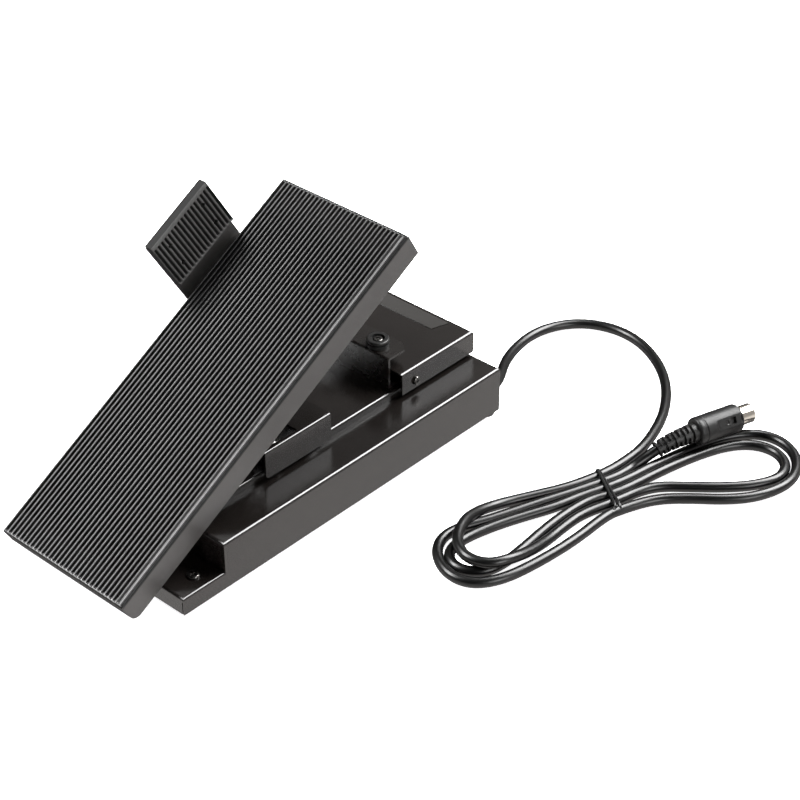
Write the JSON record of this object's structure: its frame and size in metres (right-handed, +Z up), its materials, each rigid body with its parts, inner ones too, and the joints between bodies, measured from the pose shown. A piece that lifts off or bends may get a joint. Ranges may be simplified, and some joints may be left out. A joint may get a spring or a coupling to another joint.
{
  "type": "organ expression pedal",
  "caption": "Organ expression pedal: ribbed treadle on a black steel base with a sideways kick switch beside its toe end, and a fixed cord tied in a hank with a round plug.",
  "frame": {"origin": "centre of the bottom plate, 0.5 mm above its pressed middle's underside and level with its rim's; the rubber feet stand 2 mm below it", "axes": "+Z up, +Y from the heel end to the toe end, +X to the player's right, where the cord lies"},
  "size_m": [0.3406, 0.4587, 0.1794],
  "materials": {
    "black_steel": "satin black enamel",
    "treadle_steel": "finely textured black enamel",
    "zinc_steel": "satin black enamel on inner brackets",
    "bright_steel": "bright plated steel",
    "black_screws": "black plated",
    "black_rubber": "matt moulded rubber",
    "ribbed_mat": "satin ribbed rubber",
    "moulded_plastic": "moulded, fine texture",
    "light_plastic": "natural nylon",
    "brass_parts": "plated contact pins",
    "nickel": "nickel plated",
    "circuit_board": "phenolic board",
    "badge": "dark brushed plate with no text",
    "cord_jacket": "smooth satin PVC jacket",
    "wire_tie": "plastic covered wire"
  },
  "bodies": {
    "base": {"bottom_plate": "black_steel", "front_tray": "black_steel", "main_housing": "black_steel", "center_deck": "black_steel", "pivot_cover": "black_steel", "rear_box": "black_steel", "badge_plate": "badge", "toe_stop_bracket": "zinc_steel", "hinge_bracket": "zinc_steel", "pivot_shaft": "bright_steel", "pivot_bushes": "moulded_plastic", "retaining_clips": "bright_steel", "friction_washers": "moulded_plastic", "rubber_feet": "black_rubber", "chassis_screws": "bright_steel", "tray_posts": "bright_steel", "tray_screws": "black_screws", "rear_box_screws": "black_screws", "toe_bumpers": "black_rubber", "bumper_screws": "black_screws", "heel_bumpers": "black_rubber", "pot_body": "nickel", "pot_bracket": "zinc_steel", "pot_nut": "bright_steel", "cord_grommet": "black_rubber", "cord_clamp": "moulded_plastic", "board_spacers": "moulded_plastic", "terminal_board": "circuit_board", "cord_lead": "cord_jacket", "cord_hank": "cord_jacket", "cord_tail": "cord_jacket", "hank_tie": "wire_tie", "plug_strain_relief": "moulded_plastic", "plug_body": "moulded_plastic", "plug_shell": "nickel", "plug_insert": "light_plastic", "plug_pins": "brass_parts"},
    "treadle": {"treadle_pan": "treadle_steel", "treadle_mat": "ribbed_mat", "treadle_hanger": "zinc_steel", "heel_stop_channel": "zinc_steel", "toe_stop_channel": "zinc_steel", "drive_sector": "zinc_steel", "kick_hinge_bracket": "zinc_steel", "kick_hinge_pin": "bright_steel", "kick_spring": "bright_steel", "switch_body": "moulded_plastic", "switch_bracket": "zinc_steel"},
    "pot_rotor": {"pot_shaft": "bright_steel", "drive_pinion": "light_plastic"},
    "kick_arm_body": {"kick_arm": "treadle_steel", "kick_pad": "black_rubber", "kick_pad_screws": "black_screws"},
    "plunger_body": {"switch_plunger": "light_plastic"}
  },
  "joints": [
    {"name": "treadle_pitch", "type": "hinge", "parent": "base", "child": "treadle", "pos_m": [0, -0.035, 0.049], "axis": [-1, 0, 0], "range_deg": [0, 27]},
    {"name": "pot_turn", "type": "hinge", "parent": "base", "child": "pot_rotor", "pos_m": [-0.0265, -0.01202, 0.03291], "axis": [-1, 0, 0], "range_deg": [-102, 2]},
    {"name": "kick_press", "type": "hinge", "parent": "treadle", "child": "kick_arm_body", "pos_m": [-0.03, 0.01693, 0.11637], "axis": [0, -0.8669, -0.4985], "range_deg": [0, 6], "stiffness_Nm_per_rad": 0.5, "springref_deg": -17.19},
    {"name": "plunger_press", "type": "slide", "parent": "treadle", "child": "plunger_body", "axis": [0, -0.4985, 0.8669], "range_m": [0, 0.0017], "stiffness_N_per_m": 60, "springref_m": -0.004}
  ],
  "couplings": [
    {"joint": "pot_turn", "follows": "treadle_pitch", "ratio": -3.6667},
    {"joint": "plunger_press", "follows": "kick_press", "m_per_rad": 0.0152}
  ]
}
